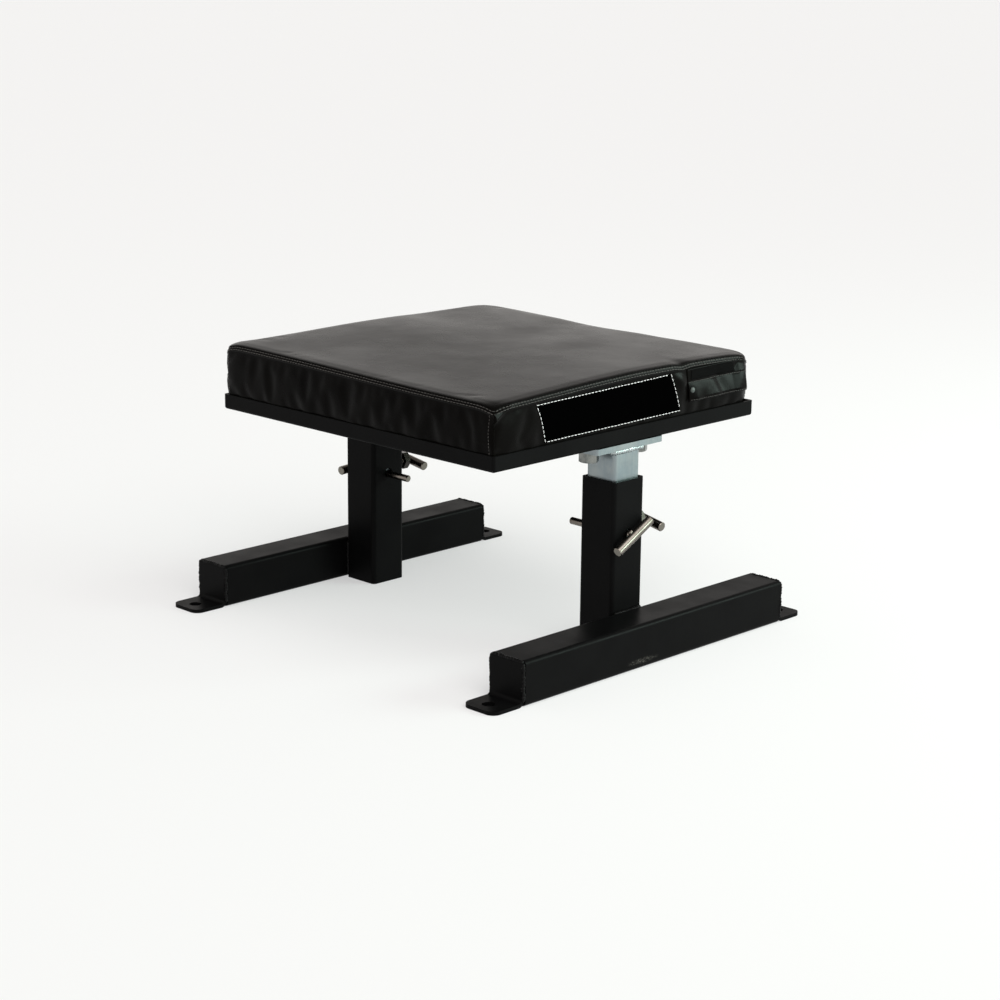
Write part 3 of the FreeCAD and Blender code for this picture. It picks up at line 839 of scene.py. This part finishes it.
def sewn_on(name, top, foot, rise, columns, rows, flat=None):
    """Sheet on the right side between two edges in millimetres of Y and Z, standing out by rise(u, v)."""
    shares = [(i / columns, j / rows) for j in range(rows + 1) for i in range(columns + 1)]
    front = [sheet_point(top, foot, rise, u, v, flat) for u, v in shares]
    back = [p - RIGHT * 1.2 * MM for p in front]
    if flat:
        for p, (u, v) in zip(back, shares):
            p.x = min(p.x, lies_on(top, foot, u, v).x - 0.4 * MM)
    wide, base = columns + 1, len(front)
    faces = []
    for j in range(rows):
        for i in range(columns):
            a = j * wide + i
            faces.append((a, a + wide, a + wide + 1, a + 1))
            faces.append((base + a, base + a + 1, base + a + wide + 1, base + a + wide))
    edge = grid_edge(wide, rows + 1)
    for k, m in zip(edge, edge[1:] + edge[:1]):
        faces.append((k, m, base + m, base + k))
    return new_mesh(name, front + back, faces)


def edge_fall(u, v, width_u, width_v):
    """0 at the edge of a sheet and 1 inside its border."""
    fall = min(min(u, 1 - u) / width_u, min(v, 1 - v) / width_v, 1)
    return math.sin(fall * math.pi / 2)


def patch_rise(u, v):
    """The patch stands out by its thickness, and rounds off to its edge."""
    return (0.35 + 0.4 * edge_fall(u, v, 0.008, 0.04)) * MM


patch_plane = [lies_on(PATCH_TOP, PATCH_FOOT, u, v).x for v in (0, 1) for u in (0, 1)]
patch = sewn_on("blank_patch", PATCH_TOP, PATCH_FOOT, patch_rise, 128, 26, patch_plane)
dress(patch, looks["patch_cloth"].material, "platform")
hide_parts("label_patch")


def sheet_stitches(name, top, foot, rise, corners, look, length, gap, radius, flat=None):
    """Rows of stitches on a sheet, each from one corner to the next, joined into one piece."""
    points, faces = [], []
    steps = 40
    shares = [i / steps for i in range(steps + 1)]
    for (u0, v0), (u1, v1) in zip(corners, corners[1:]):
        line = [sheet_point(top, foot, rise, u0 + (u1 - u0) * q, v0 + (v1 - v0) * q, flat) for q in shares]
        more, skins = stitch_row(line, length, gap, radius, False)
        faces += [tuple(len(points) + k for k in face) for face in skins]
        points += more
    return dress(new_mesh(name, points, faces), looks[look].material, "platform")


border = [(0.003, 0.015), (0.997, 0.015), (0.997, 0.985), (0.003, 0.985), (0.003, 0.015)]
sheet_stitches("patch_stitches", PATCH_TOP, PATCH_FOOT, patch_rise, border, "white_thread",
               4.4 * MM, 1.9 * MM, 0.47 * MM, patch_plane)


def flap_rise(u, v):
    """The flap lies close along its tape at the top, and from there to its hem it hangs off the side."""
    # beyond the tape's end the hanging part starts higher, and leans out less
    edge = min(max((u - 0.74) / 0.12, 0), 1)
    start = 0.37 - 0.31 * edge
    lean = (12.0 - 2.8 * edge) * min(1, 0.35 + u / 0.18) * min(1, 0.3 + (1 - u) / 0.06)
    hang = min(max(v - start, 0), 0.9 - start) - 0.8 * max(v - 0.9, 0)
    out = 0.9 + lean * hang
    out += 0.75 * noise.noise(Vector((u * 5.5, v * 2.0, 5.3))) * min(1, hang / 0.12)
    # a groove under the tape's row of stitches, and the thicker hem
    out -= 0.5 * math.exp(-((v - 0.4) / 0.025) ** 2)
    out += 0.5 * math.exp(-((v - 0.97) / 0.03) ** 2)
    return out * MM


# Ends of the tape's top and foot edges, as shares of the flap's width and height
TAPE_TOP = ((0.06, 0.03), (0.76, 0.04))
TAPE_FOOT = ((0.045, 0.33), (0.79, 0.34))


def tape_rise(u, v):
    return flap_rise(*between(TAPE_TOP, TAPE_FOOT, u, v)) + (0.4 + 0.4 * edge_fall(u, v, 0.02, 0.1)) * MM


flap = sewn_on("closing_flap", FLAP_TOP, FLAP_FOOT, flap_rise, 90, 36)
dress(flap, looks["black_vinyl"].material, "platform")
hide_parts("closure_flap")
for name, v in (("flap_tape_stitches", 0.4), ("flap_hem_stitches", 0.95)):
    sheet_stitches(name, FLAP_TOP, FLAP_FOOT, flap_rise, [(0.02, v), (0.98, v)], "seam_thread",
                   2.8 * MM, 1.3 * MM, 0.4 * MM)
tape_edges = [[between(FLAP_TOP, FLAP_FOOT, *share) for share in edge] for edge in (TAPE_TOP, TAPE_FOOT)]
tape = sewn_on("hook_tape", *tape_edges, tape_rise, 60, 12)
dress(tape, looks["hook_tape"].material, "platform")


def snap_cap(name, u, v, radius, height):
    """Low dome of a press stud under the flap's cloth, its grey-green colour a painted highlight."""
    centre = sheet_point(FLAP_TOP, FLAP_FOOT, flap_rise, u, v) - RIGHT * 0.4 * MM
    rings, turns = 6, 20
    points = [centre + RIGHT * height]
    for i in range(1, rings + 1):
        a = math.pi / 2 * i / rings
        for k in range(turns):
            t = 2 * math.pi * k / turns
            spoke = Vector((0, math.cos(t), math.sin(t))) * (radius * math.sin(a))
            points.append(centre + spoke + RIGHT * height * math.cos(a))
    faces = [(0, 1 + k, 1 + (k + 1) % turns) for k in range(turns)]
    for i in range(rings - 1):
        for k in range(turns):
            m = (k + 1) % turns
            upper, lower = 1 + i * turns, 1 + (i + 1) * turns
            faces.append((upper + k, lower + k, lower + m, upper + m))
    faces.append(tuple(1 + (rings - 1) * turns + k for k in range(turns - 1, -1, -1)))
    dress(new_mesh(name, points, faces), looks["stud_painted_highlight"].material, "platform")


snap_cap("flap_stud", 0.05, 0.64, 4.2 * MM, 2.8 * MM)


# Weld beads

BEAD_STEP = 0.7 * MM
RIPPLE = 4.2 * MM


def bead(name, path, radius, look, body, closed=False):
    """Weld bead along a path, built up from overlapping ripples and a little uneven."""
    line = walk(path, BEAD_STEP, closed)
    seed = len(name) * 3.1
    count = len(line)

    def size(i, a):
        phase = (i * BEAD_STEP / RIPPLE + 0.9 * noise.noise(Vector((i * 0.045, seed, 2.0)))) % 1
        lump = noise.noise(Vector((i * 0.11, math.cos(a) * 0.8, seed)))
        end = 1 if closed else min(1, 0.45 + min(i, count - 1 - i) * 0.25)
        return radius * end * (0.8 + 0.26 * math.sin(math.pi * phase ** 0.7) + 0.42 * lump)

    wander = [noise.noise_vector(Vector((i * 0.05, seed, 0))) * radius * 0.22 for i in range(count)]
    points, faces = sweep([p + w for p, w in zip(line, wander)], size, 10, closed)
    dress(new_mesh(name, points, faces), looks[look].material, body)


def box_path(x, y, z, half_x, half_y):
    return [Vector((x + sx * half_x, y + sy * half_y, z)) for sx, sy in ((1, 1), (-1, 1), (-1, -1), (1, -1))]


def turns_of(steps):
    """Angles that divide a full turn."""
    return [2 * math.pi * k / steps for k in range(steps)]


def ring_path(centre, axis, radius):
    first = axis.orthogonal().normalized()
    second = axis.cross(first)
    turns = turns_of(24)
    return [centre + first * (radius * math.cos(a)) + second * (radius * math.sin(a)) for a in turns]


def leg_welds(side, sx):
    """Painted beads that join a leg's upright, foot plates and clamp nut."""
    def painted(name, path, radius, closed=False):
        bead(f"{side}_{name}", path, radius, "painted_weld", side + "_leg", closed)

    base_low, base_high, base = node_box(side + "_base_tube")
    up_low, up_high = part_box(side + "_upright")
    face = base.x - sx * (base_high.x - base_low.x) / 2
    half = (up_high.y - up_low.y) / 2
    top = [Vector((face + sx * 1.6 * MM, y, base_high.z - 1.8 * MM)) for y in (4 * MM - half, half - 4 * MM)]
    painted("upright_top_weld", top, 3.1 * MM)
    for end, sy in (("front", -1), ("rear", 1)):
        heights = (3 * MM, base_high.z - 5 * MM)
        line = [Vector((face - sx * 1.7 * MM, sy * (half - 1.6 * MM), z)) for z in heights]
        painted(f"upright_{end}_weld", line, 2.7 * MM)
        foot_low, foot_high, foot = node_box(f"{side}_{end}_foot")
        y = sy * (base_high.y + 2.3 * MM)
        reach, rise = (foot_high.x - foot_low.x) / 2 + 0.4 * MM, foot_high.z + 0.4 * MM
        profile = [(-reach, 7 * MM), (-reach, rise - 4 * MM), (4 * MM - reach, rise)]
        profile += [(-x, z) for x, z in reversed(profile)]
        painted(f"{end}_foot_weld", [Vector((foot.x + x, y, z)) for x, z in profile], 2.5 * MM)
    nut_low, _, nut = node_box(side + "_clamp_nut")
    path = ring_path(Vector((nut.x, nut_low.y + 0.6 * MM, nut.z)), Vector((0, 1, 0)), 13 * MM)
    painted("nut_weld", path, 1.7 * MM, closed=True)


def flange_weld(side):
    """Zinc-plated bead between the inner tube and its flange."""
    low, high, tube = node_box(side + "_inner_tube")
    half = (high.x - low.x) / 2 + 1.6 * MM
    path = walk(box_path(tube.x, tube.y, high.z - 1.6 * MM, half, half), BEAD_STEP, True)
    bead(side + "_flange_weld", path, 3.3 * MM, "zinc_weld", "platform", closed=True)


def bar_welds(side, sx):
    """Beads that join the T-bars to the pin's end and to the clamp screw's head."""
    bar = node_box(side + "_pin_bar")[2]
    pin_low, pin_high, pin = node_box(side + "_pin")
    body = side + "_locking_pin"
    centre = Vector((bar.x - sx * 5.2 * MM, 0, pin.z))
    path = ring_path(centre, Vector((1, 0, 0)), (pin_high.z - pin_low.z) / 2 + 0.8 * MM)
    bead(side + "_pin_weld", path, 1.9 * MM, "bar_weld", body, closed=True)
    direction = bar_direction(side + "_pin_bar")
    beside = direction.cross(Vector((1, 0, 0))).normalized()
    beside = beside if beside.z > 0 else -beside
    start = Vector((bar.x - sx * 3.2 * MM, 0, pin.z)) + beside * 6.2 * MM
    path = [start - direction * 4 * MM, start + direction * 3 * MM]
    bead(side + "_pin_blob", path, 2.9 * MM, "bar_weld", body)
    bar = node_box(side + "_clamp_bar")[2]
    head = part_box(side + "_clamp_screw")[1].y
    direction = bar_direction(side + "_clamp_bar")
    beside = direction.cross(Vector((0, 1, 0))).normalized()
    for name, turn in (("upper", 1), ("lower", -1)):
        start = Vector((bar.x, head + 1.0 * MM, bar.z)) + beside * turn * 5.6 * MM
        path = [start - direction * 7 * MM, start + direction * 7 * MM]
        bead(f"{side}_clamp_{name}_weld", path, 2.1 * MM, "bar_weld", side + "_clamp")


looks["bar_weld"] = bare_steel("bar_weld", (0, 0, 1))
for side, sx in (("left", -1), ("right", 1)):
    leg_welds(side, sx)
    flange_weld(side)
    bar_welds(side, sx)


def screw_thread(name, start, along, length, radius, pitch, look, body):
    """Thread ridge wound round a plain shank."""
    turn_steps = 20
    steps = round(length / pitch * turn_steps)
    first = along.orthogonal().normalized()
    second = along.cross(first)
    line = []
    for i in range(steps + 1):
        a = 2 * math.pi * i / turn_steps
        spoke = first * (radius * math.cos(a)) + second * (radius * math.sin(a))
        line.append(start + along * (length * i / steps) + spoke)
    points, faces = sweep(line, lambda i, a: pitch * 0.38, 4, up=along)
    dress(new_mesh(name, points, faces, smooth=False), looks[look].material, body)


_, nut_high, nut = node_box("left_clamp_nut")
screw_thread("left_clamp_thread", Vector((nut.x, nut_high.y + 0.3 * MM, nut.z)), Vector((0, 1, 0)),
             5.2 * MM, 7.8 * MM, 2 * MM, "bar_weld", "left_clamp")


# Floor, lights and camera

FLOOR_HALF = 30.0
FLOOR_GLOW = 0.5

# Dark discs of painted shadow under the feet's bolt holes: how far they lie from the middle along Y, and
# their radius
DISC_PLACE = 290 * MM
DISC_RADIUS = 9.0 * MM

# The world's light is HORIZON up to the first angle above the floor, in degrees, and HIGH from the second
HORIZON = (1.0, 0.965, 0.93, 1)
HIGH = (0.28, 0.27, 0.26, 1)
WALL_ANGLES = (21, 42)


def floor():
    """Pale floor that a camera sees near white, with the object's soft shadow on it."""
    corners = [(sx * FLOOR_HALF, sy * FLOOR_HALF, 0) for sx, sy in ((-1, -1), (1, -1), (1, 1), (-1, 1))]
    plane = new_mesh("floor", corners, [(0, 1, 2, 3)])
    plane.location.z = -0.5 * MM
    look = Look("floor", (0.8, 0.8, 0.8), 0.9, specular=0.0)
    look.bump(look.noise(6, 3), 0.1 * MM)
    path = look.node("ShaderNodeLightPath")
    direct = look.math("MAXIMUM", path.outputs["Is Camera Ray"], path.outputs["Is Transmission Ray"])
    seen = look.math("MULTIPLY", look.math("MAXIMUM", direct, path.outputs["Is Glossy Ray"]), FLOOR_GLOW)
    glow = look.node("ShaderNodeEmission", {"Color": (0.97, 0.97, 0.97, 1), "Strength": 1.0})
    mixed = look.node("ShaderNodeMixShader", {0: seen, 1: look.shader.outputs[0], 2: glow.outputs[0]})
    output = next(n for n in look.tree.nodes if n.type == "OUTPUT_MATERIAL")
    look.tree.links.new(mixed.outputs[0], output.inputs["Surface"])
    plane.data.materials.append(look.material)


def painted_shadow_discs():
    """Small dark discs under the bolt holes of the feet: a painted shadow, so that the holes look into
    shadow.
    """
    dark = Look("painted_shadow_disc", (0.01, 0.01, 0.01), 0.9, specular=0.0)
    for side in ("left", "right"):
        for end, sy in (("front", -1), ("rear", 1)):
            name = f"{side}_{end}_foot"
            centre = Vector((node_box(name)[2].x, sy * DISC_PLACE, -0.1 * MM))
            spokes = [Vector((math.cos(a), math.sin(a), 0)) * DISC_RADIUS for a in turns_of(24)]
            rim = [centre + spoke for spoke in spokes]
            disc = new_mesh("painted_shadow_under_" + name, rim, [tuple(range(len(rim)))])
            disc.data.materials.append(dark.material)


def backdrop_light():
    """World light: a pale studio wall all round, and a darker ceiling."""
    world = bpy.data.worlds.new("studio")
    bpy.context.scene.world = world
    world.use_nodes = True
    tree = world.node_tree
    back = tree.nodes["Background"]
    place = tree.nodes.new("ShaderNodeTexCoord")
    split = tree.nodes.new("ShaderNodeSeparateXYZ")
    ramp = tree.nodes.new("ShaderNodeValToRGB")
    tree.links.new(place.outputs["Generated"], split.inputs[0])
    tree.links.new(split.outputs["Z"], ramp.inputs[0])
    tree.links.new(ramp.outputs[0], back.inputs["Color"])
    for stop, angle, color in zip(ramp.color_ramp.elements, WALL_ANGLES, (HORIZON, HIGH)):
        stop.position = math.sin(math.radians(angle))
        stop.color = color
    back.inputs["Strength"].default_value = 1.0


def aim(piece, place, target):
    piece.location = place
    piece.rotation_euler = (Vector(target) - Vector(place)).to_track_quat("-Z", "Y").to_euler()


def lamp(name, kind, energy, color, place, target):
    """Lamp that shines from a place towards a target."""
    data = bpy.data.lights.new(name, kind)
    data.energy, data.color = energy, color
    piece = bpy.data.objects.new(name, data)
    bpy.context.scene.collection.objects.link(piece)
    aim(piece, place, target)
    return data


def lamps():
    """A wide soft light from above, and a panel beyond the rear right corner."""
    overhead = lamp("overhead", "SUN", 2.3, (1.0, 0.99, 0.97), (0.75, -0.25, 1.0), (0, 0, 0))
    overhead.angle = math.radians(60)
    panel = lamp("side_panel", "AREA", 70.0, (0.78, 1.0, 0.9), (2.3, 2.0, 1.15), (0.2, 0, 0.3))
    panel.shape = "RECTANGLE"
    panel.size, panel.size_y = 1.9, 0.8


def camera():
    data = bpy.data.cameras.new("camera")
    data.lens, data.sensor_width = LENS, SENSOR
    eye = bpy.data.objects.new("camera", data)
    bpy.context.scene.collection.objects.link(eye)
    turn = Matrix.Rotation(math.radians(CAMERA_HEADING), 4, "Z")
    tilt = Matrix.Rotation(math.radians(90 - CAMERA_DOWN), 4, "X")
    roll = Matrix.Rotation(math.radians(CAMERA_ROLL), 4, "Z")
    eye.matrix_world = Matrix.Translation(CAMERA_PLACE) @ turn @ tilt @ roll
    bpy.context.scene.camera = eye


floor()
painted_shadow_discs()
backdrop_light()
lamps()
camera()

bpy.context.scene.view_settings.view_transform = "Standard"
